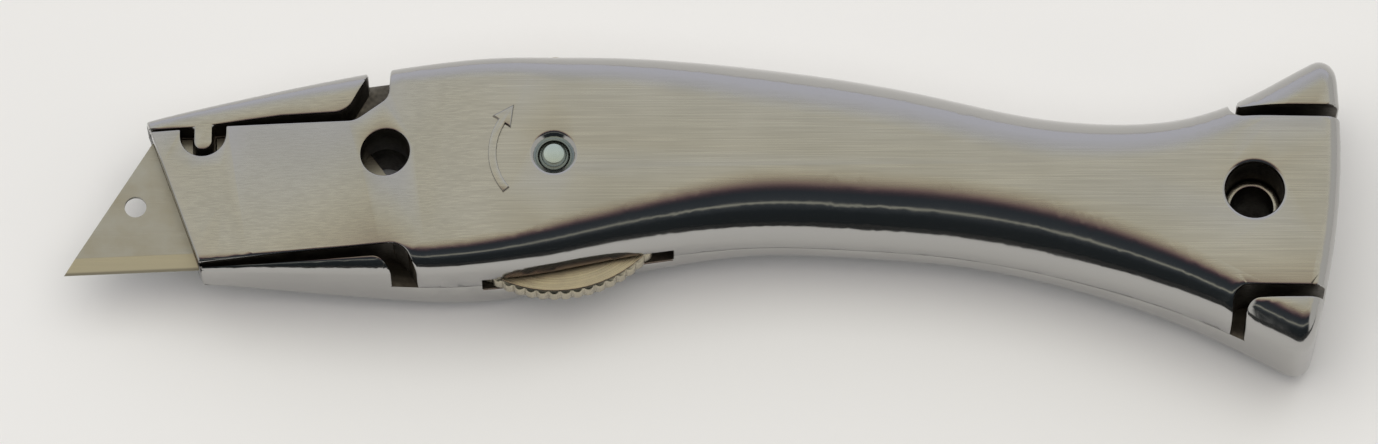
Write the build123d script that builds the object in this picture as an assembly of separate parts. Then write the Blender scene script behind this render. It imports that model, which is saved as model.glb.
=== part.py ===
from build123d import *
from math import cos, pi, radians, sin, sqrt, tan
import os

# A dolphin-shaped trimming knife: two zinc castings clamp a fixed trapezoid blade, and a
# knurled wheel between them screws the front casting away from the back one.
# Frame: X runs from the blade (-X) to the tail, +Y to the back edge of the knife, and +Z out
# of the front casting. The knife lies on Z = 0. The pieces are drawn about the wheel's axis
# and moved at the end, so that the origin is on the axis of the hanging hole in the tail.

# Castings
body_t = 20.0             # closed thickness of the handle
nose_t = 6.6              # closed thickness where the blade comes out
handle_len = 107.3        # wheel axis to the end of the tail
head_len = 55.4           # wheel axis to the nose, along the back edge
nose_lean = 20.0          # degrees that the nose edge leans
nose_y = 5.6              # height at which the nose edge is head_len ahead of the axis
taper_x = -10.0           # the head gets thinner from here to the nose
wall_t = 2.1              # outer wall of the hollow handle
# Rounding of the long edges: share of the head (minus) or handle length, radius
edge_line = [(-1.0, 1.5), (-0.1, 4.4), (0.1, 6.2), (0.25, 8.3), (0.65, 8.3), (1.0, 4.8)]
least_edge_r = 1.0        # rounding left in the corners of the hollow
tail_end_r = 2.2          # rounding round the end of the tail
tail_arc_r = 102.0        # the tail ends in a shallow arc
tail_arc_y = 3.0          # height of the middle of that arc
parting_gap = 0.05        # the front casting bears on the blade, not on the back casting

# Half outlines of the closed knife: share of the head or handle length, upper Y, lower Y
head_line = [(1.08, 6.2, -14.7), (0.90, 8.8, -14.6), (0.74, 10.6, -14.85), (0.58, 12.25, -15.35),
             (0.42, 13.65, -15.8), (0.27, 14.6, -16.0), (0.13, 15.15, -15.45)]
handle_line = [(0.0, 15.5, -14.4), (0.075, 15.65, -12.7), (0.15, 15.5, -11.4),
               (0.264, 14.7, -10.25), (0.38, 12.9, -10.6), (0.49, 10.5, -11.5),
               (0.60, 7.8, -13.5), (0.70, 6.5, -16.3), (0.80, 6.9, -19.95),
               (0.875, 9.4, -23.6), (0.95, 13.6, -27.5), (1.05, 19.6, -32.5)]

# Blade: the standard 53 x 19 mm trapezoid
blade_len = 53.0
blade_h = 19.0
blade_t = 0.65
blade_end_deg = 56.0      # slant of its two ends
blade_hole_d = 3.0
blade_hole_in = 10.0      # hole centre from the point, along the edge
notch_in = 18.1           # near side of the notch from the point, along the edge
notch_w = 3.3
notch_h = 3.6
blade_tilt = 2.6          # degrees that the cutting edge rises towards the handle
blade_heel_y = -11.8      # height of the end of the cutting edge next to the wheel
blade_heel_gap = 0.95     # heel of the blade to the rim of the wheel
blade_grind = 2.4         # width of the ground bevel along the cutting edge
blade_edge_t = 0.05       # what the grinding leaves at the cutting edge
blade_fit = 0.15          # pocket round the blade
spare_count = 5
spare_fit = 0.15          # pocket round the spare blades

# Clamp screw and wheel
wheel_r = 17.4
wheel_t = 3.0
wheel_teeth = 66
tooth_h = 0.42            # depth of the knurling
rim_chamfer = 0.45        # chamfer on both faces of the wheel
wheel_side_gap = 0.5      # each face of the wheel to its slot
wheel_rim_gap = 1.6       # teeth to the round wall of the slot
slot_ahead = 1.0          # the slot is cut a little towards the tail
thread_d = 4.2            # screw end, modelled at its crests
thread_pitch = 0.7
screw_head = 0.4          # riveted end of the screw, under the ring
journal_d = 5.4           # plain part of the screw, which turns in the back casting
run_gap = 0.05            # radial clearance of screw and journal
sink_d = 6.2              # countersink round the screw end
sink_depth = 1.1
screw_end_gap = 0.35      # screw end below the front face
bush_d = 8.4              # threaded bush in the front casting
bush_floor = 3.0          # casting left between the bush and the front face
sleeve_d = 7.4            # plain bearing sleeve in the back casting
ring_d = 9.6              # retaining ring under the back casting
ring_t = 0.9
washer_t = 0.4
ring_pocket_d = 10.6
ring_pocket_depth = 3.2
relief_r = 12.6           # lightening groove round the screw boss
boss_r = 6.4
relief_floor = 2.6

# Holes through both castings
window_x = 23.0           # from the wheel axis towards the nose
window_y = 0.8
window_d = 6.7
tail_hole_in = 12.0       # from the end of the tail
tail_hole_y = -5.3
tail_hole_d = 7.9
tube_bore_d = 5.8         # guide tube of the back casting, the hanging hole
tube_rise = 3.0           # height of the tube above the parting face
scoop_r = 2.2             # small scoop under the lower tail lip
scoop_depth = 0.2
scoop_in = 6.0            # from the end of the tail
tube_gap = 0.1            # tube to the hole in the front casting, on the radius
hole_rim = 0.35           # chamfer round the holes

# Lips of the back casting and the gaps round the front casting
lug_w = 2.5               # lug that locates the blade by its notch
lug_reach = 3.1           # end of the lug below the back edge of the blade
recess_w = 6.3
seam = 0.35               # narrowest gap round the front casting
arrow_r = 8.4             # curved arrow on the front face, round the screw
arrow_w = 1.1
arrow_from = 146.0        # degrees, at the arrow's head
arrow_to = 220.0
arrow_head_len = 2.7
arrow_head_w = 3.0
arrow_rise = 0.35
arrow_root = 0.3          # how far the arrow goes into the casting

parting_z = body_t / 2
wheel_z0 = parting_z - wheel_t / 2
slot_z0 = wheel_z0 - wheel_side_gap
slot_t = wheel_t + 2 * wheel_side_gap
slot_r = wheel_r + wheel_rim_gap
front_z0 = parting_z + parting_gap
reach = 40.0              # past every outline, for cutting tools

blade_heel_x = -sqrt((wheel_r + blade_heel_gap) ** 2 - blade_heel_y ** 2)
blade_point_x = blade_heel_x - blade_len * cos(radians(blade_tilt))
blade_point_y = blade_heel_y - blade_len * sin(radians(blade_tilt))
head_point_x = -66.95     # where the head's outlines below expect the point of the blade
nose_shift = blade_point_x - head_point_x
tail_hole_x = handle_len - tail_hole_in

# Inside the handle
rib_shares = (0.33, 0.52, 0.71)    # cross ribs, as shares of the handle's length
rib_t = 1.8
hollow_wall = 2.0                  # from the hollow to the slot and to the guide tube
hollow_x0 = slot_r + slot_ahead + hollow_wall
hollow_x1 = tail_hole_x - tail_hole_d / 2 - hollow_wall
spare_x = 0.54 * handle_len
spare_y = -1.7
spare_tilt = -10.4                 # degrees, along the waist of the handle
spare_sink = 0.6                   # top blade below the parting face
spare_z0 = parting_z - spare_sink - spare_count * blade_t
front_rib_z = parting_z + 2.0
spring_len = 38.0
spring_w = 8.0
spring_t = 0.4
spring_pad = 10.0
spring_top = parting_z + 1.2
rivet_d = 2.4
rivet_head_d = 4.3
rivet_head_t = 0.55
rivet_gap = 0.1                    # round the rivet in the spring
ring_z0 = ring_pocket_depth - washer_t - ring_t
bush_z0 = slot_z0 + slot_t
bush_len = body_t - bush_floor - bush_z0


def closed_t(x):
    """Thickness of the closed knife at x: full in the handle, thinner towards the nose."""
    share = (taper_x - x) / (head_len + taper_x)
    return body_t - (body_t - nose_t) * max(0.0, share)


def edge_r(x):
    """Rounding of the long edges at x, between the entries of edge_line."""
    share = x / head_len if x < 0 else x / handle_len
    if share <= edge_line[0][0]:
        return edge_line[0][1]
    for (start, r0), (end, r1) in zip(edge_line, edge_line[1:]):
        if share <= end:
            return r0 + (r1 - r0) * (share - start) / (end - start)
    return edge_line[-1][1]


def stations():
    """Outline stations from nose to tail: x, upper y, lower y."""
    head = [(-share * head_len, top, low) for share, top, low in head_line]
    handle = [(share * handle_len, top, low) for share, top, low in handle_line]
    return head + handle


def section(x, top, low, inset):
    """Rounded cross-section at x, shrunk all round by inset."""
    high = top - low - 2 * inset
    thick = closed_t(x) - 2 * inset
    r = max(edge_r(x) - inset, least_edge_r)
    plane = Plane(origin=(x, (top + low) / 2, parting_z), x_dir=(0, 1, 0), z_dir=(1, 0, 0))
    r = min(r, thick / 2 - 0.1)
    return (plane * RectangleRounded(high, thick, r)).face()


def prism(points, z0, z1, rounds=None):
    """Upright prism of a closed outline; rounds maps a corner's number to its radius."""
    outline = Polyline(*points, close=True)
    shape = make_face(outline)
    for number, r in (rounds or {}).items():
        corner = shape.vertices().sort_by_distance(Vector(*points[number]))[0]
        shape = fillet(corner, r)
    return extrude(Pos(0, 0, z0) * shape, z1 - z0)


def rod(x, y, r, z0, z1):
    return Pos(x, y, (z0 + z1) / 2) * Cylinder(r, z1 - z0)


def closed_body():
    """The outside of both castings together."""
    skin = loft([section(x, top, low, 0.0) for x, top, low in stations()])
    tail = rod(handle_len - tail_arc_r, tail_arc_y, tail_arc_r, -reach, body_t + reach)
    keep = tail + Pos(-reach, 0, parting_z) * Box(handle_len + head_len, 3 * reach, 2 * reach)
    skin = skin & keep
    end = skin.faces().filter_by(GeomType.CYLINDER).sort_by(Axis.X)[-1]
    skin = fillet(end.edges(), tail_end_r)
    run = tan(radians(nose_lean)) * reach
    nose_x = -head_len + nose_shift
    foot = (nose_x + run, nose_y - reach)
    crown = (nose_x - run, nose_y + reach)
    nose = prism([foot, crown, (crown[0] - reach, crown[1]), (crown[0] - reach, foot[1])],
                 -reach, body_t + reach)
    skin = skin - nose
    slab = Pos(0, 0, parting_z) * Box(4 * head_len + 2 * handle_len, 3 * reach, body_t)
    return skin & slab


def in_head(points):
    """Head outlines follow the blade when its place changes."""
    return [(x + nose_shift, y) for x, y in points]


def from_tail(points):
    """Outlines at the tail, measured from the end of the handle."""
    return [(handle_len - back, y) for back, y in points]


def lip_tools(widen):
    """The lips of the back casting with widen at 0, or the front casting's openings with 1."""
    z0 = parting_z - 0.5 * (1 - widen)
    z1 = body_t + reach
    if widen:
        head_top = [(-75, 5.2 - seam), (-45, 6.2 - seam), (-37.4, 5.8), (-27.2, 5.7),
                    (-22.6, 8.8), (-21.6, 30), (-75, 30)]
        head_low = [(-75, -14.4), (-48.1, -13.7), (-37.6, -13.1), (-27.3, -12.6),
                    (-20.6, -12.3), (-17.4, -18.0), (-17.0, -40), (-75, -40)]
        tail_top = [(15.1, 30), (15.1, 5.6), (-10, 5.2), (-10, 30)]
        tail_low = [(15.3, -40), (15.1, -18.9), (-10, -19.2), (-10, -40)]
        rounds = [{3: 3.0, 4: 2.0}, {4: 3.0}, {1: 2.0}, {1: 2.0}]
    else:
        head_top = [(-75, 5.2), (-48.9, 5.9), (-37.4, 6.9), (-28.4, 7.0), (-25.6, 12.0),
                    (-24.9, 30), (-75, 30)]
        head_low = [(-75, -14.5), (-48.0, -14.2), (-40.4, -14.2), (-32.5, -14.1),
                    (-23.6, -13.9), (-20.3, -18.0), (-19.8, -40), (-75, -40)]
        tail_top = [(14.0, 8.4), (14.0, 7.1), (-10, 7.0), (-10, 24.8)]
        tail_low = [(13.2, -40), (13.4, -20.7), (-10, -20.6), (-10, -40)]
        rounds = [{3: 3.0}, {4: 2.4}, {1: 0.5}, {1: 1.8}]
    outlines = [in_head(head_top), in_head(head_low), from_tail(tail_top), from_tail(tail_low)]
    tools = Part()
    for outline, corners in zip(outlines, rounds):
        tools += prism(outline, z0, z1, corners)
    notch = notch_place()
    half_w = recess_w / 2 if widen else lug_w / 2
    low = notch[1] - (lug_reach + 0.9 * widen)
    round_r = half_w - 0.02
    stem = [(notch[0] - half_w, low), (notch[0] + half_w, low),
            (notch[0] + half_w, notch[1] + 1.4), (notch[0] - half_w, notch[1] + 1.4)]
    tools += prism(stem, z0, z1, {0: round_r, 1: round_r})
    return tools


def along_blade(run, rise):
    """A point on the blade: run along its edge from the point, rise square to the edge."""
    turn = radians(blade_tilt)
    x = blade_point_x + run * cos(turn) - rise * sin(turn)
    y = blade_point_y + run * sin(turn) + rise * cos(turn)
    return x, y


def notch_place():
    """Middle of the near notch, on the back edge of the blade."""
    return along_blade(notch_in + notch_w / 2, blade_h)


def blade_outline(grow):
    """Trapezoid with two notches in its short edge, grown all round by grow."""
    slant = tan(radians(blade_end_deg))
    side = grow / sin(radians(blade_end_deg)) + grow / slant
    shoulder = (blade_h + grow) / slant - grow / sin(radians(blade_end_deg))
    notch_low = blade_h - notch_h + grow
    gap = notch_w - 2 * grow
    first = notch_in + grow
    last = blade_len - notch_in - notch_w + grow
    top = blade_h + grow
    points = [(-side, -grow), (blade_len + side, -grow), (blade_len - shoulder, top)]
    for start in (last, first):
        points += [(start + gap, top), (start + gap, notch_low), (start, notch_low), (start, top)]
    points += [(shoulder, top)]
    return points


def blade_solid(grow, thick):
    """A blade lying flat with its point at the origin."""
    shape = make_face(Polyline(*blade_outline(grow), close=True))
    if not grow:
        for run in (blade_hole_in, blade_len - blade_hole_in):
            shape -= Pos(run, blade_h / 2) * Circle(blade_hole_d / 2)
    plate = extrude(shape, thick)
    if grow:
        return plate
    land = blade_edge_t / 2
    side = [(0.0, thick / 2 - land), (blade_grind, 0.0), (blade_h, 0.0), (blade_h, thick),
            (blade_grind, thick), (0.0, thick / 2 + land)]
    profile = make_face(Plane.YZ * Polyline(*side, close=True))
    return plate & extrude(profile, blade_len)


def seated(solid, z):
    """Moves a blade solid to the place of the working blade."""
    return Pos(blade_point_x, blade_point_y, z) * Rot(0, 0, blade_tilt) * solid


def stored(solid, z):
    """Moves a blade solid to the magazine, back edge down, along the waist of the handle."""
    middle = Pos(spare_x, spare_y, z) * Rot(0, 0, spare_tilt)
    return middle * Pos(-blade_len / 2, blade_h / 2, 0) * mirror(solid, Plane.XZ)


def work_blade():
    return seated(blade_solid(0.0, blade_t), parting_z - blade_t)


def spare_blade(number):
    return stored(blade_solid(0.0, blade_t), spare_z0 + number * blade_t)


def hollow():
    """The inside of the handle, between the wheel and the guide tube."""
    inner = loft([section(x, top, low, wall_t) for x, top, low in stations() if x > taper_x])
    length = hollow_x1 - hollow_x0
    span = Pos((hollow_x0 + hollow_x1) / 2, 0, parting_z) * Box(length, 2 * reach, 2 * body_t)
    return inner & span


def wheel_slot():
    return rod(slot_ahead, 0, slot_r, slot_z0, slot_z0 + slot_t)


def groove(z0, z1):
    """Lightening groove round the screw boss."""
    return rod(0, 0, relief_r, z0, z1) - rod(0, 0, boss_r, z0, z1)


def rimmed_hole(x, y, d, z0, z1, rim_low, rim_high):
    """A hole with chamfered rims where it breaks the outer faces."""
    tool = rod(x, y, d / 2, z0, z1)
    if rim_high:
        tool += Pos(x, y, body_t - hole_rim / 2) * Cone(d / 2, d / 2 + hole_rim, hole_rim)
    if rim_low:
        tool += Pos(x, y, hole_rim / 2) * Cone(d / 2 + hole_rim, d / 2, hole_rim)
    return tool


def ribs(z0, z1):
    """Cross ribs in the handle."""
    tool = Part()
    for share in rib_shares:
        tool += Pos(handle_len * share, 0, (z0 + z1) / 2) * Box(rib_t, 2 * reach, z1 - z0)
    return tool


def back_half(body, inside):
    """Back casting: the lower half, with four lips, the blade lug and the guide tube."""
    lower = Pos(0, 0, parting_z - reach) * Box(8 * reach, 4 * reach, 2 * reach)
    half = (body & lower) + (body & lip_tools(0))
    tube = rod(tail_hole_x, tail_hole_y, tail_hole_d / 2 - tube_gap, wall_t, parting_z + tube_rise)
    half = half - (inside - ribs(0.0, spare_z0)) + tube
    half -= stored(blade_solid(spare_fit, reach), spare_z0)
    half -= wheel_slot()
    half -= groove(relief_floor, parting_z)
    half -= seated(blade_solid(blade_fit, reach), parting_z - blade_t) & lower
    half -= rod(0, 0, sleeve_d / 2, 0, body_t)
    half -= rod(0, 0, ring_pocket_d / 2, -1, ring_pocket_depth)
    half -= rimmed_hole(-window_x + nose_shift, window_y, window_d, -1, body_t, False, False)
    half -= rimmed_hole(tail_hole_x, tail_hole_y, tube_bore_d, -1, body_t, True, False)
    low = handle_line[-2][2]
    half -= Pos(handle_len - scoop_in, low - scoop_r + scoop_depth, parting_z) * Sphere(scoop_r)
    return half


def arrow():
    """Raised arrow on the front face, which shows the way to open the knife."""
    shape = trace(CenterArc((0, 0), arrow_r, arrow_from, arrow_to - arrow_from), arrow_w)
    turn = radians(arrow_from)
    out = Vector(cos(turn), sin(turn))
    ahead = Vector(sin(turn), -cos(turn))
    foot = out * arrow_r - ahead * arrow_root
    head = [foot + ahead * (arrow_head_len + arrow_root), foot + out * arrow_head_w / 2,
            foot - out * arrow_head_w / 2]
    shape += make_face(Polyline(*[(p.X, p.Y) for p in head], close=True))
    return extrude(Pos(0, 0, body_t - arrow_root) * shape, arrow_rise + arrow_root)


def front_half(body, inside):
    """Front casting: the upper half inside the lips, with the countersunk screw boss."""
    upper = Pos(0, 0, front_z0 + reach) * Box(8 * reach, 4 * reach, 2 * reach)
    half = (body & upper) - lip_tools(1)
    pad = Pos(spare_x, spare_y, spring_top + reach / 2)
    cross = Rot(0, 0, spare_tilt) * Box(spring_pad, 2 * reach, reach)
    half = half - (inside - ribs(front_rib_z, body_t) - pad * cross)
    half -= wheel_slot()
    half -= groove(front_z0, body_t - relief_floor)
    half -= rod(0, 0, bush_d / 2, 0, bush_z0 + bush_len)
    half -= rod(0, 0, thread_d / 2 + run_gap, 0, body_t + 1)
    sink = Cone(thread_d / 2 + run_gap, sink_d / 2, sink_depth)
    half -= Pos(0, 0, body_t - sink_depth / 2) * sink
    half -= rimmed_hole(-window_x + nose_shift, window_y, window_d, 0, body_t + 1, False, False)
    half -= rimmed_hole(tail_hole_x, tail_hole_y, tail_hole_d, 0, body_t + 1, False, True)
    return half + arrow()


def thumb_wheel():
    """Knurled wheel: rounded teeth, each a small arc, round a plain disc."""
    step = 2 * pi / wheel_teeth
    low = wheel_r - tooth_h
    arcs = []
    for tooth in range(wheel_teeth):
        turn = tooth * step
        points = [(low, turn), (wheel_r, turn + step / 2), (low, turn + step)]
        arcs.append(ThreePointArc(*[(r * cos(a), r * sin(a)) for r, a in points]))
    rim = make_face(Wire(arcs)) - Circle(journal_d / 2)
    blank = Cylinder(wheel_r, wheel_t)
    blank = chamfer(blank.edges().filter_by(GeomType.CIRCLE), rim_chamfer)
    return extrude(Pos(0, 0, wheel_z0) * rim, wheel_t) & Pos(0, 0, parting_z) * blank


def clamp_screw():
    """Screw fixed in the wheel: journal below, thread above, riveted head under the ring."""
    journal = rod(0, 0, journal_d / 2, ring_z0 - screw_head, wheel_z0 + wheel_t)
    thread = rod(0, 0, thread_d / 2, wheel_z0 + wheel_t, body_t - screw_end_gap)
    screw = journal + thread
    end = screw.faces().sort_by(Axis.Z)[-1]
    return chamfer(end.edges(), thread_pitch)


def washer(outer_d, inner_d, z0, thick):
    return rod(0, 0, outer_d / 2, z0, z0 + thick) - rod(0, 0, inner_d / 2, z0, z0 + thick)


def thread_bush():
    """Steel bush pressed into the front casting, which carries the clamp thread."""
    return washer(bush_d, thread_d + 2 * run_gap, bush_z0, bush_len)


def bearing_sleeve():
    """Plain sleeve pressed into the back casting."""
    return washer(sleeve_d, journal_d + 2 * run_gap, ring_pocket_depth, slot_z0 - ring_pocket_depth)


def magazine_spring():
    """Bowed leaf spring that keeps the spare blades from rattling."""
    half = spring_len / 2
    drop = spring_top - spring_t - (spare_z0 + spare_count * blade_t) - parting_gap
    upper = ThreePointArc((-half, -drop), (0, 0), (half, -drop))
    lower = ThreePointArc((half, -drop - spring_t), (0, -spring_t), (-half, -drop - spring_t))
    ends = [Line(upper @ 1, lower @ 0), Line(lower @ 1, upper @ 0)]
    strip = make_face(Wire([upper.edge(), ends[0].edge(), lower.edge(), ends[1].edge()]))
    leaf = extrude(Plane.XZ * strip, spring_w / 2, both=True)
    leaf -= rod(0, 0, rivet_d / 2 + rivet_gap, -2, 2)
    return Pos(spare_x, spare_y, spring_top) * Rot(0, 0, spare_tilt) * leaf


def spring_rivet():
    """Rivet that holds the leaf spring to its pad."""
    under = -spring_t - parting_gap
    head = rod(0, 0, rivet_head_d / 2, under - rivet_head_t, under)
    shank = rod(0, 0, rivet_d / 2, under - rivet_head_t, 0.0)
    return Pos(spare_x, spare_y, spring_top) * (head + shank)


os.makedirs("parts", exist_ok=True)
body = closed_body()
inside = hollow()
nodes = {
    "back_half": back_half(body, inside),
    "front_half": front_half(body, inside),
    "thumb_wheel": thumb_wheel(),
    "clamp_screw": clamp_screw(),
    "thread_bush": thread_bush(),
    "bearing_sleeve": bearing_sleeve(),
    "wheel_washer": washer(ring_d, journal_d, slot_z0, wheel_side_gap),
    "thrust_washer": washer(ring_d, journal_d, ring_pocket_depth - washer_t, washer_t),
    "retaining_ring": washer(ring_d, journal_d, ring_z0, ring_t),
    "work_blade": work_blade(),
    "magazine_spring": magazine_spring(),
    "spring_rivet": spring_rivet(),
}
for number in range(spare_count):
    nodes[f"spare_blade_{number + 1}"] = spare_blade(number)
to_frame = Pos(-tail_hole_x, -tail_hole_y, 0)
for name, solid in nodes.items():
    export_step(to_frame * solid, f"parts/{name}.step")
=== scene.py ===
import math
import bpy
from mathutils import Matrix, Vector


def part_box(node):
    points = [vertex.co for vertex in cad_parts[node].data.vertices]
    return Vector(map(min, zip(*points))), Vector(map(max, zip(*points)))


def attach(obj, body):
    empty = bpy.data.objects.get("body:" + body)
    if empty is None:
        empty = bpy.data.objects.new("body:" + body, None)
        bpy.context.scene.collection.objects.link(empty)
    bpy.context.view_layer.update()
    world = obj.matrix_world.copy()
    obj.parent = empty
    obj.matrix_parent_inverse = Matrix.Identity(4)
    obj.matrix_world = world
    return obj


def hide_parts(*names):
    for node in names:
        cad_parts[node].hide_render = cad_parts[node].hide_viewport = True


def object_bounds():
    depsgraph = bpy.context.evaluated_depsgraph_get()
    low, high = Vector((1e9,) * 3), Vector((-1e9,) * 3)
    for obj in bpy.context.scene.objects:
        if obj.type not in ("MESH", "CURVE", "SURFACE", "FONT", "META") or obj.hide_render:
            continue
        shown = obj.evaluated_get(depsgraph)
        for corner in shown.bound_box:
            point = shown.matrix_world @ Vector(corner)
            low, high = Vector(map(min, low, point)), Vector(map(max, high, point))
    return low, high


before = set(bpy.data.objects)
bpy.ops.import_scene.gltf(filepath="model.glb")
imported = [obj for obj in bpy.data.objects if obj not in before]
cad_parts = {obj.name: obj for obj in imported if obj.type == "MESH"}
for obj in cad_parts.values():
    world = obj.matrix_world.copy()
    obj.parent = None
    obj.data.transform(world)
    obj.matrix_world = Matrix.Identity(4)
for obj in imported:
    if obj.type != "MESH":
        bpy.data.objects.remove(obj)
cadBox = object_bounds()
mm = 0.001
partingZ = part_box("work_blade")[1].z                 # the castings meet on the blade's front face
wheelAxis = sum(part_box("clamp_screw"), Vector()) / 2  # the thumb wheel turns about this


def toLinear(hexColour):
    # sRGB hex to the linear values that the shader takes
    channels = [int(hexColour[i:i + 2], 16) / 255 for i in (1, 3, 5)]
    linear = [c / 12.92 if c <= 0.04045 else ((c + 0.055) / 1.055) ** 2.4 for c in channels]
    return (*linear, 1.0)


def addNode(tree, kind, settings=None, links=None):
    # links maps an input of the new node to the output that feeds it, or to a fixed value
    node = tree.nodes.new(kind)
    for name, value in (settings or {}).items():
        setattr(node, name, value)
    for name, value in (links or {}).items():
        if isinstance(value, bpy.types.NodeSocket):
            tree.links.new(value, node.inputs[name])
        else:
            node.inputs[name].default_value = value
    return node


def selectOnly(piece):
    bpy.ops.object.select_all(action="DESELECT")
    piece.select_set(True)
    bpy.context.view_layer.objects.active = piece


cameraSettings = {
    "tiltDeg": 20.0,                     # the lens leans this much from square to the front face
    "distance": 1.2,
    "fieldWidth": 0.18697,               # width of the view at the aim point
    "aimFromWheel": (0.0184, -0.0102),
    "sensorWidth": 36.0,
    "clipStart": 0.01,
}


def addCamera(s):
    tilt = math.radians(s["tiltDeg"])
    back = Vector((0.0, -math.sin(tilt), math.cos(tilt)))
    aimX = wheelAxis.x + s["aimFromWheel"][0]
    aimY = wheelAxis.y + s["aimFromWheel"][1]
    aim = Vector((aimX, aimY, cadBox[1][2]))
    bpy.ops.object.camera_add(location=aim + back * s["distance"], rotation=(tilt, 0.0, 0.0))
    camera = bpy.context.object
    camera.name = "benchCamera"
    camera.data.sensor_width = s["sensorWidth"]
    camera.data.lens = s["sensorWidth"] * s["distance"] / s["fieldWidth"]
    camera.data.clip_start = s["clipStart"]
    bpy.context.scene.camera = camera


studio = {
    "floorSize": 3.0,
    "floorColour": "#ececec",
    "floorRoughness": 0.9,
    "skyStrength": 1.0,
    # the room seen from the knife, by angle from straight up: minus towards the back edge
    "sky": [(-180, "#e6e6e8"), (-90, "#e8e9f4"), (-50, "#e6e7ee"), (-34, "#eeeeea"), (-20, "#f6f3e4"),
            (-6, "#f0e9d2"), (6, "#c9b9a2"), (15, "#8a6c70"), (21, "#4a3f48"), (30, "#3a4046"),
            (47, "#464b50"), (51, "#c2c1b2"), (54, "#464b50"), (66, "#2c3134"), (100, "#2a2d2e"),
            (115, "#c9c4c0"), (180, "#e6e6e8")],
    "sideWall": "#d9d8d4",               # the room off both ends of the knife
    "sideStart": (0.56, 0.70),           # share of a direction that runs along the knife
    "backdrop": "#e4e6ea",               # what the camera itself sees above the floor
    "lampHeight": 0.7,
    "lampSize": 0.9,
    "lampPower": 3.2,
    "flagGap": 0.055,                    # black flag on the floor, from the knife's lower edge
    "flagWidth": 1.6,
    "flagLength": 2.4,
    "flagLift": 0.2 * mm,
    "flagColour": "#262829",
}


def newMatt(name, colour, roughness):
    material = bpy.data.materials.new(name)
    material.use_nodes = True
    shader = material.node_tree.nodes["Principled BSDF"]
    shader.inputs["Base Color"].default_value = toLinear(colour)
    shader.inputs["Roughness"].default_value = roughness
    return material


def addRoom(s):
    world = bpy.data.worlds.new("softRoom")
    bpy.context.scene.world = world
    world.use_nodes = True
    tree = world.node_tree
    background = tree.nodes["Background"]
    place = addNode(tree, "ShaderNodeTexCoord")
    parts = addNode(tree, "ShaderNodeSeparateXYZ", links={"Vector": place.outputs["Generated"]})
    away = addNode(tree, "ShaderNodeMath", {"operation": "MULTIPLY"}, {0: parts.outputs["Y"], 1: -1.0})
    turn = addNode(tree, "ShaderNodeMath", {"operation": "ARCTAN2"},
                   {0: away.outputs[0], 1: parts.outputs["Z"]})
    share = addNode(tree, "ShaderNodeMapRange",
                    links={"Value": turn.outputs[0], "From Min": -math.pi, "From Max": math.pi})
    ramp = addNode(tree, "ShaderNodeValToRGB", links={"Fac": share.outputs["Result"]})
    stops = ramp.color_ramp.elements
    for angle, colour in s["sky"][1:-1]:
        stops.new((angle + 180) / 360).color = toLinear(colour)
    stops[0].color = toLinear(s["sky"][0][1])
    stops[len(stops) - 1].color = toLinear(s["sky"][-1][1])
    along = addNode(tree, "ShaderNodeMath", {"operation": "ABSOLUTE"}, {0: parts.outputs["X"]})
    offEnd = addNode(tree, "ShaderNodeMapRange", links={
        "Value": along.outputs[0], "From Min": s["sideStart"][0], "From Max": s["sideStart"][1]})
    room = addNode(tree, "ShaderNodeMix", {"data_type": "RGBA"}, {
        0: offEnd.outputs[0], 6: ramp.outputs["Color"], 7: toLinear(s["sideWall"])})
    ray = addNode(tree, "ShaderNodeLightPath")
    seen = addNode(tree, "ShaderNodeMix", {"data_type": "RGBA"}, {
        0: ray.outputs["Is Camera Ray"], 6: room.outputs[2], 7: toLinear(s["backdrop"])})
    tree.links.new(seen.outputs[2], background.inputs["Color"])
    background.inputs["Strength"].default_value = s["skyStrength"]


def addStudio(s):
    bpy.ops.mesh.primitive_plane_add(size=s["floorSize"], location=(0.0, 0.0, cadBox[0][2]))
    floor = bpy.context.object
    floor.name = "paleFloor"
    floor.data.materials.append(newMatt("paintedBoard", s["floorColour"], s["floorRoughness"]))
    addRoom(s)

    flagY = cadBox[0][1] - s["flagGap"] - s["flagWidth"] / 2
    bpy.ops.mesh.primitive_plane_add(size=1.0, location=(wheelAxis.x, flagY, cadBox[0][2] + s["flagLift"]))
    flag = bpy.context.object
    flag.name = "blackFlag"
    flag.scale = (s["flagLength"], s["flagWidth"], 1.0)
    bpy.ops.object.transform_apply(location=True, rotation=True, scale=True)
    flag.data.materials.append(newMatt("blackFelt", s["flagColour"], 1.0))
    flag.visible_camera = False           # it only shows as the dark band in the polished edge
    flag.visible_diffuse = False
    flag.visible_shadow = False

    bpy.ops.object.light_add(type="AREA", location=(wheelAxis.x, 0.0, s["lampHeight"]))
    lamp = bpy.context.object
    lamp.name = "overheadLamp"
    lamp.data.size = s["lampSize"]
    lamp.data.energy = s["lampPower"]
    lamp.visible_glossy = False


addCamera(cameraSettings)
addStudio(studio)
bpy.context.scene.view_settings.view_transform = "Standard"
print("camera, floor and light are in")

noiseSpan = {"From Min": 0.3, "From Max": 0.7}       # noise seldom leaves this range
cloudNoise = {"Detail": 3.0, "Roughness": 0.55}
lineNoise = {"Detail": 3.0, "Roughness": 0.6}        # a little crisper, for grit lines
facing = 0.9                                         # a normal this near to Z faces up or down


def newMetal(name, colour, roughness):
    material = bpy.data.materials.new(name)
    material.use_nodes = True
    tree = material.node_tree
    shader = tree.nodes["Principled BSDF"]
    shader.inputs["Base Color"].default_value = toLinear(colour)
    shader.inputs["Metallic"].default_value = 1.0
    shader.inputs["Roughness"].default_value = roughness
    place = addNode(tree, "ShaderNodeTexCoord")
    return material, tree, shader, place


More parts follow.
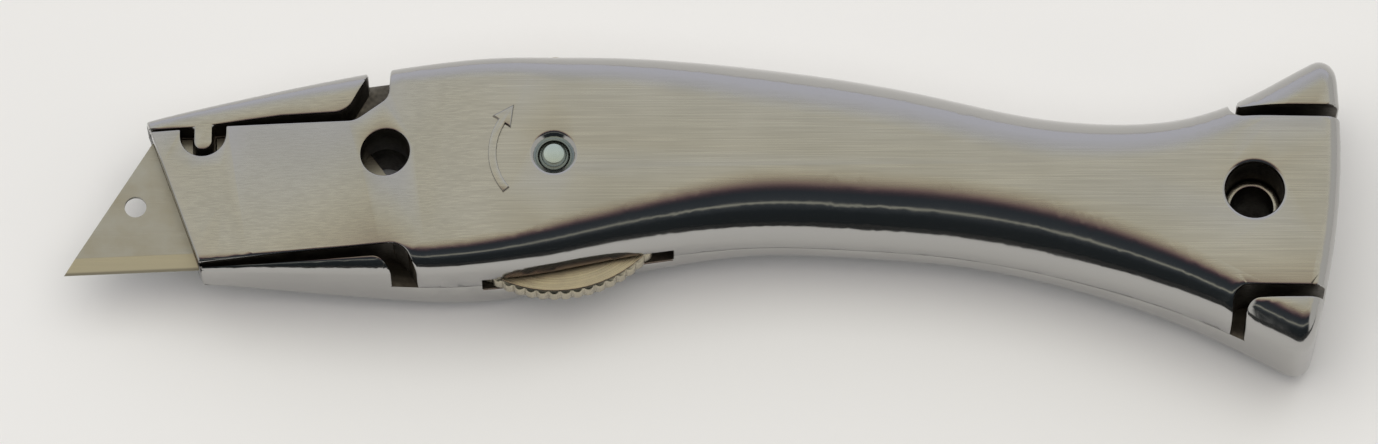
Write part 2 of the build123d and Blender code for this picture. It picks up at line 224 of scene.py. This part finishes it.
# die-cast zinc, ground along the handle with a fine belt and buffed on its edges: a satin
# grey with faint lengthwise lines, and near mirror on the rounded edges
castZinc = {
    "face": "#b3b1ab", "duller": "#a9a7a0", "polish": "#b0afad", "line": "#8f8d86", "lineShare": 0.35,
    "faceRoughness": (0.24, 0.36), "edgeRoughness": (0.09, 0.14),
    "flatFrom": (0.90, 0.995),                # a face this square to Z is ground, the rest is buffed
    "lineLength": 14.0, "lineGap": 0.22,      # belt grit lines, drawn a little coarser than real
    "patchSize": 16.0, "dentSize": 2.5,
    "bumpStrength": 0.10, "bumpDepth": 0.03,
    "lineDepth": 0.5,                         # depth of a grit line against a dent
}


def makeCastZinc(s):
    material, tree, shader, place = newMetal("dieCastZincBrushed", s["face"], s["faceRoughness"][0])
    parts = addNode(tree, "ShaderNodeSeparateXYZ", links={"Vector": place.outputs["Normal"]})
    upright = addNode(tree, "ShaderNodeMath", {"operation": "ABSOLUTE"}, {0: parts.outputs["Z"]})
    onFace = addNode(tree, "ShaderNodeMapRange", links={
        "Value": upright.outputs[0], "From Min": s["flatFrom"][0], "From Max": s["flatFrom"][1]})
    stretched = addNode(tree, "ShaderNodeMapping", links={
        "Vector": place.outputs["Object"],
        "Scale": (1 / s["lineLength"], 1 / s["lineGap"], 1 / s["lineGap"])})
    lines = addNode(tree, "ShaderNodeTexNoise", links={
        "Vector": stretched.outputs["Vector"], "Scale": 1 / mm, **lineNoise})
    cloud = addNode(tree, "ShaderNodeTexNoise", links={
        "Vector": place.outputs["Object"], "Scale": 1 / (s["patchSize"] * mm), **cloudNoise})
    patch = addNode(tree, "ShaderNodeMapRange", links={"Value": cloud.outputs["Fac"], **noiseSpan})
    mottled = addNode(tree, "ShaderNodeMix", {"data_type": "RGBA"}, {
        0: patch.outputs[0], 6: toLinear(s["face"]), 7: toLinear(s["duller"])})
    streak = addNode(tree, "ShaderNodeMapRange", links={
        "Value": lines.outputs["Fac"], **noiseSpan, "To Max": s["lineShare"]})
    ground = addNode(tree, "ShaderNodeMix", {"data_type": "RGBA"}, {
        0: streak.outputs[0], 6: mottled.outputs[2], 7: toLinear(s["line"])})
    colour = addNode(tree, "ShaderNodeMix", {"data_type": "RGBA"}, {
        0: onFace.outputs[0], 6: toLinear(s["polish"]), 7: ground.outputs[2]})
    tree.links.new(colour.outputs[2], shader.inputs["Base Color"])
    faceLow, faceHigh = s["faceRoughness"]
    faceRough = addNode(tree, "ShaderNodeMapRange", links={
        "Value": lines.outputs["Fac"], **noiseSpan, "To Min": faceLow, "To Max": faceHigh})
    edgeLow, edgeHigh = s["edgeRoughness"]
    edgeRough = addNode(tree, "ShaderNodeMapRange", links={
        "Value": cloud.outputs["Fac"], **noiseSpan, "To Min": edgeLow, "To Max": edgeHigh})
    rough = addNode(tree, "ShaderNodeMix", {"data_type": "FLOAT"}, {
        0: onFace.outputs[0], 2: edgeRough.outputs[0], 3: faceRough.outputs[0]})
    tree.links.new(rough.outputs[0], shader.inputs["Roughness"])
    dents = addNode(tree, "ShaderNodeTexNoise", links={
        "Vector": place.outputs["Object"], "Scale": 1 / (s["dentSize"] * mm), **cloudNoise, "Detail": 1.0})
    depth = addNode(tree, "ShaderNodeMath", {"operation": "MULTIPLY_ADD"},
                    {0: lines.outputs["Fac"], 1: s["lineDepth"], 2: dents.outputs["Fac"]})
    bump = addNode(tree, "ShaderNodeBump", links={
        "Height": depth.outputs[0], "Strength": s["bumpStrength"], "Distance": s["bumpDepth"] * mm})
    tree.links.new(bump.outputs["Normal"], shader.inputs["Normal"])
    return material


# the same zinc as it leaves the die, inside and in the gaps: matt as cast with random darker stains, and
# its whole grey brown tone darkened as painted shade for the gaps and hollows
rawShadedZinc = {
    "clean": "#77736c", "greasyShaded": "#4b4742", "roughness": (0.42, 0.6),
    "stainSize": 4.0, "grain": 0.5, "bumpStrength": 0.3, "bumpDepth": 0.06,
}


def makeRawShadedZinc(s):
    material, tree, shader, place = newMetal("dieCastZincRawShaded", s["clean"], s["roughness"][0])
    stain = addNode(tree, "ShaderNodeTexNoise", links={
        "Vector": place.outputs["Object"], "Scale": 1 / (s["stainSize"] * mm), **cloudNoise})
    grain = addNode(tree, "ShaderNodeTexNoise", links={
        "Vector": place.outputs["Object"], "Scale": 1 / (s["grain"] * mm), **cloudNoise, "Detail": 2.0})
    patch = addNode(tree, "ShaderNodeMapRange", links={"Value": stain.outputs["Fac"], **noiseSpan})
    # random stains between two tones, both darkened as painted shade
    tone = addNode(tree, "ShaderNodeMix", {"data_type": "RGBA"}, {
        0: patch.outputs[0], 6: toLinear(s["clean"]), 7: toLinear(s["greasyShaded"])})
    tree.links.new(tone.outputs[2], shader.inputs["Base Color"])
    low, high = s["roughness"]
    rough = addNode(tree, "ShaderNodeMapRange", links={
        "Value": grain.outputs["Fac"], **noiseSpan, "To Min": low, "To Max": high})
    tree.links.new(rough.outputs[0], shader.inputs["Roughness"])
    bump = addNode(tree, "ShaderNodeBump", links={
        "Height": grain.outputs["Fac"], "Strength": s["bumpStrength"], "Distance": s["bumpDepth"] * mm})
    tree.links.new(bump.outputs["Normal"], shader.inputs["Normal"])
    return material


# hardened blade strip, rolled and lightly oiled, with its cutting edge ground across
bladeSteel = {
    "strip": "#a6a5a0", "shade": "#9c978b", "ground": "#b4b0a0", "edge": "#85837a",
    "plainRoughness": 0.30, "roughness": (0.26, 0.36),
    "grind": (2.3, 2.4),                      # the ground strip ends between these, from the edge
    "fineEdge": (0.25, 0.5),                  # and the last stroke of the stone between these
    "patchSize": 5.0, "lineLength": 12.0, "lineGap": 0.10,
    "bumpStrength": 0.08, "bumpDepth": 0.02,
    "workTilt": 2.6,                          # degrees that the cutting edge rises to the handle
    "spareTilt": -10.4,
}


def makeBladeSteel(s, name, turnDeg, foot, flip):
    # foot is a point on the cutting edge; flip is -1 where the edge faces up
    material, tree, shader, place = newMetal(name, s["strip"], s["plainRoughness"])
    turned = addNode(tree, "ShaderNodeVectorRotate", {"rotation_type": "Z_AXIS"}, {
        "Vector": place.outputs["Object"], "Center": foot, "Angle": math.radians(-turnDeg)})
    local = addNode(tree, "ShaderNodeVectorMath", {"operation": "SUBTRACT"},
                    {0: turned.outputs[0], 1: foot})
    parts = addNode(tree, "ShaderNodeSeparateXYZ", links={"Vector": local.outputs[0]})
    rise = addNode(tree, "ShaderNodeMath", {"operation": "MULTIPLY"}, {0: parts.outputs["Y"], 1: flip})
    cloud = addNode(tree, "ShaderNodeTexNoise", links={
        "Vector": place.outputs["Object"], "Scale": 1 / (s["patchSize"] * mm), **cloudNoise})
    patch = addNode(tree, "ShaderNodeMapRange", links={"Value": cloud.outputs["Fac"], **noiseSpan})
    tone = addNode(tree, "ShaderNodeMix", {"data_type": "RGBA"}, {
        0: patch.outputs[0], 6: toLinear(s["strip"]), 7: toLinear(s["shade"])})
    for (low, high), colour in ((s["grind"], s["ground"]), (s["fineEdge"], s["edge"])):
        near = addNode(tree, "ShaderNodeMapRange", links={
            "Value": rise.outputs[0], "From Min": low * mm, "From Max": high * mm,
            "To Min": 1.0, "To Max": 0.0})
        tone = addNode(tree, "ShaderNodeMix", {"data_type": "RGBA"}, {
            0: near.outputs[0], 6: tone.outputs[2], 7: toLinear(colour)})
    tree.links.new(tone.outputs[2], shader.inputs["Base Color"])
    stretched = addNode(tree, "ShaderNodeMapping", links={
        "Vector": place.outputs["Object"], "Rotation": (0.0, 0.0, math.radians(-turnDeg)),
        "Scale": (1 / s["lineLength"], 1 / s["lineGap"], 1 / s["lineGap"])})
    lines = addNode(tree, "ShaderNodeTexNoise", links={
        "Vector": stretched.outputs["Vector"], "Scale": 1 / mm, **lineNoise})
    roughLow, roughHigh = s["roughness"]
    rough = addNode(tree, "ShaderNodeMapRange", links={
        "Value": lines.outputs["Fac"], **noiseSpan, "To Min": roughLow, "To Max": roughHigh})
    tree.links.new(rough.outputs[0], shader.inputs["Roughness"])
    bump = addNode(tree, "ShaderNodeBump", links={
        "Height": lines.outputs["Fac"], "Strength": s["bumpStrength"], "Distance": s["bumpDepth"] * mm})
    tree.links.new(bump.outputs["Normal"], shader.inputs["Normal"])
    return material


turnedMetals = {
    "patchSize": 3.0, "bumpStrength": 0.15, "bumpDepth": 0.03,
    # finish: colour, duller colour, roughness, gap of the lathe rings in millimetres
    # free-cutting steel, nickel plated: warm grey on the knurled wheel
    "nickelPlatedSteelTurned": ("#bdb59f", "#aca595", (0.22, 0.34), 0.25),
    # zinc-plated steel, blue passivated: a cool sheen with a slight teal cast
    "zincPlatedSteelBlue": ("#b7c3c2", "#a3b1b2", (0.16, 0.30), 0.18),
    # sintered bronze, oil soaked: brown and dull
    "sinteredBronze": ("#a3804c", "#8c6c42", (0.38, 0.52), 0.30),
    # spring steel, blued by tempering: dark with a straw and blue cast
    "temperedSpringSteel": ("#6c6c72", "#5a5d68", (0.24, 0.38), 0.35),
}


def makeTurnedMetal(s, name):
    # turned on a lathe: fine rings round the wheel's axis
    bright, dull, (low, high), ringGap = s[name]
    material, tree, shader, place = newMetal(name, bright, low)
    centred = addNode(tree, "ShaderNodeVectorMath", {"operation": "SUBTRACT"},
                      {0: place.outputs["Object"], 1: (wheelAxis.x, wheelAxis.y, 0.0)})
    flat = addNode(tree, "ShaderNodeVectorMath", {"operation": "MULTIPLY"},
                   {0: centred.outputs[0], 1: (1.0, 1.0, 0.0)})
    radius = addNode(tree, "ShaderNodeVectorMath", {"operation": "LENGTH"}, {0: flat.outputs[0]})
    rings = addNode(tree, "ShaderNodeTexNoise", {"noise_dimensions": "1D"}, {
        "W": radius.outputs["Value"], "Scale": 1 / (ringGap * mm), "Detail": 2.0})
    cloud = addNode(tree, "ShaderNodeTexNoise", links={
        "Vector": place.outputs["Object"], "Scale": 1 / (s["patchSize"] * mm), **cloudNoise})
    patch = addNode(tree, "ShaderNodeMapRange", links={"Value": cloud.outputs["Fac"], **noiseSpan})
    tone = addNode(tree, "ShaderNodeMix", {"data_type": "RGBA"}, {
        0: patch.outputs[0], 6: toLinear(bright), 7: toLinear(dull)})
    tree.links.new(tone.outputs[2], shader.inputs["Base Color"])
    rough = addNode(tree, "ShaderNodeMapRange", links={
        "Value": rings.outputs["Fac"], **noiseSpan, "To Min": low, "To Max": high})
    tree.links.new(rough.outputs[0], shader.inputs["Roughness"])
    bump = addNode(tree, "ShaderNodeBump", links={
        "Height": rings.outputs["Fac"], "Strength": s["bumpStrength"], "Distance": s["bumpDepth"] * mm})
    tree.links.new(bump.outputs["Normal"], shader.inputs["Normal"])
    return material


zinc = makeCastZinc(castZinc)
insideShadedZinc = makeRawShadedZinc(rawShadedZinc)
wheelSteel = makeTurnedMetal(turnedMetals, "nickelPlatedSteelTurned")
platedSteel = makeTurnedMetal(turnedMetals, "zincPlatedSteelBlue")
bronze = makeTurnedMetal(turnedMetals, "sinteredBronze")
springSteel = makeTurnedMetal(turnedMetals, "temperedSpringSteel")
print("materials are made")

cleaning = {
    "mergeGap": 0.002,         # millimetres
    "shortestEdge": 0.06,
    "flatDeg": 0.2,            # faces this near to one plane become one
    "sharpDeg": 35.0,          # edges sharper than this get the bevel
    "smoothDeg": 30.0,
}


def softCopy(node, name, body, width, segments=2, weights=None):
    # a copy of a CAD node with its sharp edges broken by a small bevel, as tumbling leaves them
    s = cleaning
    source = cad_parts[node]
    piece = source.copy()
    piece.data = source.data.copy()
    piece.name = name
    piece.data.name = name
    piece.parent = None
    for key in list(piece.keys()):
        del piece[key]
    bpy.context.scene.collection.objects.link(piece)
    selectOnly(piece)
    bpy.ops.mesh.customdata_custom_splitnormals_clear()
    bpy.ops.object.mode_set(mode="EDIT")
    bpy.ops.mesh.select_all(action="SELECT")
    bpy.ops.mesh.remove_doubles(threshold=s["mergeGap"] * mm)
    bpy.ops.mesh.dissolve_degenerate(threshold=s["shortestEdge"] * mm)
    bpy.ops.mesh.select_all(action="SELECT")
    bpy.ops.mesh.dissolve_limited(angle_limit=math.radians(s["flatDeg"]))
    bpy.ops.object.mode_set(mode="OBJECT")
    bevel = piece.modifiers.new("brokenEdges", "BEVEL")
    bevel.width = width * mm
    bevel.segments = segments
    bevel.use_clamp_overlap = False
    bevel.loop_slide = False
    bevel.limit_method = "ANGLE"
    bevel.angle_limit = math.radians(s["sharpDeg"])
    if weights:
        setWeights(piece, math.radians(s["sharpDeg"]), weights)
        bevel.limit_method = "WEIGHT"
    bpy.ops.object.modifier_apply(modifier=bevel.name)
    bpy.ops.object.shade_smooth_by_angle(angle=math.radians(s["smoothDeg"]))
    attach(piece, body)
    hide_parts(node)
    return piece


def setWeights(piece, sharp, weights):
    # weights gives the share of the full bevel for the middle of an edge
    mesh = piece.data
    faces = {}
    for face in mesh.polygons:
        for key in face.edge_keys:
            faces.setdefault(key, []).append(face.normal)
    store = mesh.attributes.new("bevel_weight_edge", "FLOAT", "EDGE")
    for edge in mesh.edges:
        pair = faces[edge.key]
        if len(pair) == 2 and pair[0].angle(pair[1], 0.0) > sharp:
            middle = (mesh.vertices[edge.vertices[0]].co + mesh.vertices[edge.vertices[1]].co) / 2
            store.data[edge.index].value = weights(middle)


def finishPiece(piece, material):
    piece.data.materials.clear()
    piece.data.materials.append(material)


castings = {
    "edge": 0.26,              # rounding of the polished edges, in millimetres
    "partingShare": 0.22,      # share of it left where the castings meet
    "partingReach": 0.3,       # an edge this near to the parting plane is on it
    "arrowShare": 0.8,
    "arrowStart": 6.0,         # the raised arrow lies between these, from the wheel's axis
    "arrowReach": 11.0,
    "arrowTop": 0.1,           # and its upper edges and foot between these, from the top
    "arrowFoot": 0.6,
    # faces shut in by walls within this reach get the darker zinc as painted shade
    "gapReach": 22.0,          # walls nearer than this shut a face in
    "rayLift": 0.02,
    # these too take the darker zinc with its painted shade
    "jointFaces": 0.6,         # flat faces this near to the parting plane stay raw
}


def castingWeight(middle):
    s = castings
    flat = Vector((middle.x - wheelAxis.x, middle.y - wheelAxis.y))
    top = cadBox[1][2]
    if abs(middle.z - partingZ) < s["partingReach"] * mm:
        return s["partingShare"]
    inReach = s["arrowStart"] * mm < flat.length < s["arrowReach"] * mm
    if inReach and middle.z > top - s["arrowFoot"] * mm:
        return s["arrowShare"] if middle.z > top - s["arrowTop"] * mm else 0.0
    return 1.0


def markShutInShaded(piece, others):
    # faces that look at a wall close by get the as-cast zinc with its painted shade, and so does all of
    # the parting face
    s = castings
    for face in piece.data.polygons:
        start = face.center + face.normal * s["rayLift"] * mm
        shut = any(other.ray_cast(start, face.normal, distance=s["gapReach"] * mm)[0]
                   for other in others)
        nearParting = abs(face.center.z - partingZ) < s["jointFaces"] * mm
        face.material_index = 1 if shut or (nearParting and abs(face.normal.z) > facing) else 0


shells = [softCopy(node, name, body, castings["edge"], weights=castingWeight)
          for node, name, body in (("back_half", "backCasting", "back_body"),
                                   ("front_half", "frontCasting", "front_body"))]
for piece in shells:
    finishPiece(piece, zinc)
    piece.data.materials.append(insideShadedZinc)
bpy.context.view_layer.update()
# faces shut in by walls close by take the darker zinc: painted shade
for piece in shells:
    markShutInShaded(piece, shells)
print("castings are in")

hardware = {
    # node: piece, body, bevel in millimetres, segments, material, slot
    "thumb_wheel": ("thumbWheel", "wheel_body", 0.14, 2, wheelSteel, "wheel_steel"),
    "wheel_washer": ("wheelWasher", "wheel_body", 0.08, 2, platedSteel, "plated_steel"),
    "thrust_washer": ("thrustWasher", "wheel_body", 0.08, 2, platedSteel, "plated_steel"),
    "retaining_ring": ("retainingRing", "wheel_body", 0.12, 2, springSteel, "spring_steel"),
    "thread_bush": ("threadBush", "front_body", 0.15, 2, platedSteel, "plated_steel"),
    "bearing_sleeve": ("bearingSleeve", "back_body", 0.15, 2, bronze, "bronze"),
    "magazine_spring": ("magazineSpring", "front_body", 0.08, 2, springSteel, "spring_steel"),
    "spring_rivet": ("springRivet", "front_body", 0.2, 3, platedSteel, "plated_steel"),
}

for node, (name, body, width, segments, material, slot) in hardware.items():
    piece = softCopy(node, name, body, width, segments)
    finishPiece(piece, material)
print("wheel and small hardware are in")

screwSizes = {
    "journal": 2.7,            # radii in millimetres
    "crest": 2.1,
    "root": 1.72,
    "pitch": 0.7,
    "flankShare": 0.42,        # share of the pitch that each flank rises over
    "endChamfer": 0.55,
    "chamferSlope": 0.6,
    "edge": 0.05,
    "sides": 64,
}


def growEnd(rise, scale):
    # extrudes the selected end face upwards and scales it about the wheel's axis
    bpy.ops.mesh.extrude_region_move(TRANSFORM_OT_translate={"value": (0.0, 0.0, rise * mm)})
    bpy.ops.transform.resize(value=(scale, scale, 1.0), center_override=(wheelAxis.x, wheelAxis.y, 0.0))


def makeScrew(s):
    low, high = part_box("clamp_screw")
    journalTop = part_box("thumb_wheel")[1].z
    bpy.ops.object.select_all(action="DESELECT")
    bpy.ops.mesh.primitive_cylinder_add(
        vertices=s["sides"], radius=s["journal"] * mm, depth=journalTop - low.z,
        location=(wheelAxis.x, wheelAxis.y, (journalTop + low.z) / 2))
    screw = bpy.context.object
    screw.name = "clampScrew"
    bpy.ops.object.transform_apply(location=True, rotation=True, scale=True)
    bpy.ops.object.mode_set(mode="EDIT")
    bpy.ops.mesh.select_mode(type="FACE")
    bpy.ops.mesh.select_all(action="DESELECT")
    bpy.ops.object.mode_set(mode="OBJECT")
    for face in screw.data.polygons:
        face.select = face.normal.z > facing
    bpy.ops.object.mode_set(mode="EDIT")
    growEnd(0.0, s["root"] / s["journal"])
    # the thread: one ridge for each pitch, from its root to its crest and back
    ridges = int(((high.z - journalTop) / mm - s["endChamfer"]) / s["pitch"])
    left = (high.z - journalTop) / mm - ridges * s["pitch"]
    flank = s["pitch"] * s["flankShare"]
    land = s["pitch"] / 2 - flank
    grow = s["crest"] / s["root"]
    growEnd(left - s["endChamfer"], 1.0)
    for ridge in range(ridges):
        growEnd(flank, grow)
        growEnd(land, 1.0)
        growEnd(flank, 1.0 / grow)
        growEnd(land, 1.0)
    growEnd(s["endChamfer"], (s["root"] - s["endChamfer"] * s["chamferSlope"]) / s["root"])
    bpy.ops.mesh.select_all(action="SELECT")
    bpy.ops.mesh.normals_make_consistent(inside=False)
    bpy.ops.object.mode_set(mode="OBJECT")
    bevel = screw.modifiers.new("brokenEdges", "BEVEL")
    bevel.width = s["edge"] * mm
    bevel.segments = 2
    bevel.limit_method = "ANGLE"
    bpy.ops.object.modifier_apply(modifier=bevel.name)
    bpy.ops.object.shade_smooth_by_angle(angle=math.radians(cleaning["smoothDeg"]))
    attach(screw, "wheel_body")
    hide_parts("clamp_screw")
    finishPiece(screw, platedSteel)


makeScrew(screwSizes)
print("clamp screw is in")

low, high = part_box("work_blade")
workSteel = makeBladeSteel(bladeSteel, "bladeSteelInUse", bladeSteel["workTilt"], (low.x, low.y, 0.0), 1.0)
low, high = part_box("spare_blade_1")
spareSteel = makeBladeSteel(bladeSteel, "bladeSteelSpare", bladeSteel["spareTilt"],
                            (low.x, high.y, 0.0), -1.0)
for node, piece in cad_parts.items():
    if node == "work_blade" or node.startswith("spare_blade"):
        piece.data.materials.clear()
        piece.data.materials.append(workSteel if node == "work_blade" else spareSteel)
print("blades are in")
